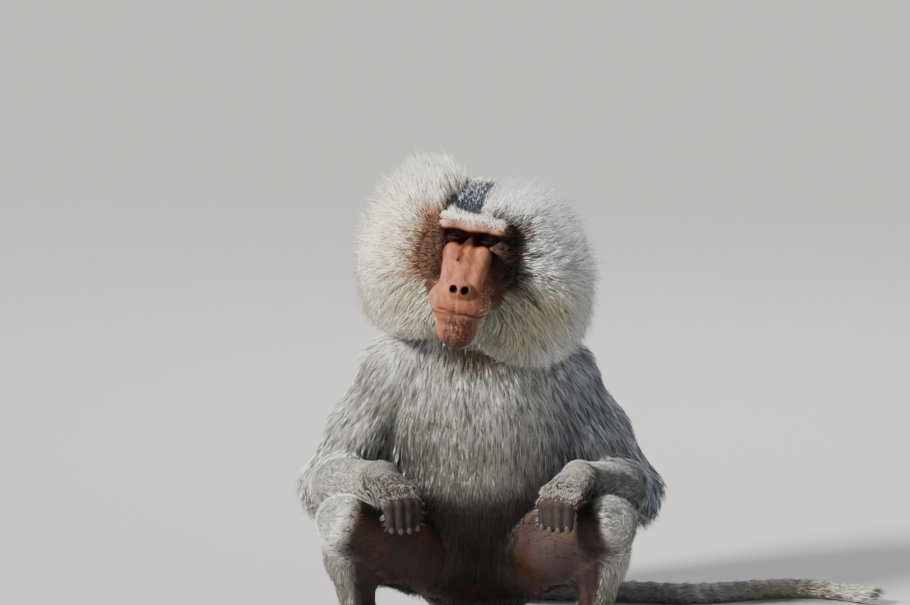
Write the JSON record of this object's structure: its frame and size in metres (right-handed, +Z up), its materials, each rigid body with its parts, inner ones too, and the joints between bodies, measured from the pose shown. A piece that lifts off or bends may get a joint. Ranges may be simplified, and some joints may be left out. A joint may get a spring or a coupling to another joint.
{
  "type": "seated male hamadryas baboon model",
  "caption": "Life-size still model of a seated adult male hamadryas baboon with silver mane and cape, a hand resting on its raised knee and the tail laid along the floor.",
  "frame": {"origin": "on the floor under the middle of the seat pad", "axes": "+Z up; the animal faces -Y, its left side is at +X and its tail lies towards +X"},
  "size_m": [0.8969, 0.4258, 0.7085],
  "materials": {
    "face_skin": "bare soft skin, pink to brick red, slightly oily",
    "eye": "wet, dark brown",
    "mane": "long dense silver-white hair",
    "cape": "long silver-grey hair in locks",
    "coat": "short ticked grey-brown fur",
    "hand_skin": "dry dark skin with short hair",
    "pad_skin": "bare horny pink pad"
  },
  "bodies": {
    "root": {"head": "face_skin", "ear_left": "face_skin", "ear_right": "face_skin", "eye_left": "eye", "eye_right": "eye", "mane_left": "mane", "mane_right": "mane", "mane_crown": "mane", "neck": "cape", "torso": "cape", "pelvis": "coat", "seat_pad": "pad_skin", "upper_arm_left": "cape", "upper_arm_right": "cape", "forearm_left": "coat", "forearm_right": "coat", "hand_left": "hand_skin", "hand_right": "hand_skin", "thigh_left": "coat", "thigh_right": "coat", "shin_left": "coat", "shin_right": "coat", "foot_left": "hand_skin", "foot_right": "hand_skin", "tail_1": "coat", "tail_2": "coat", "tail_3": "coat", "tail_4": "coat", "tail_tuft": "cape"}
  },
  "joints": []
}
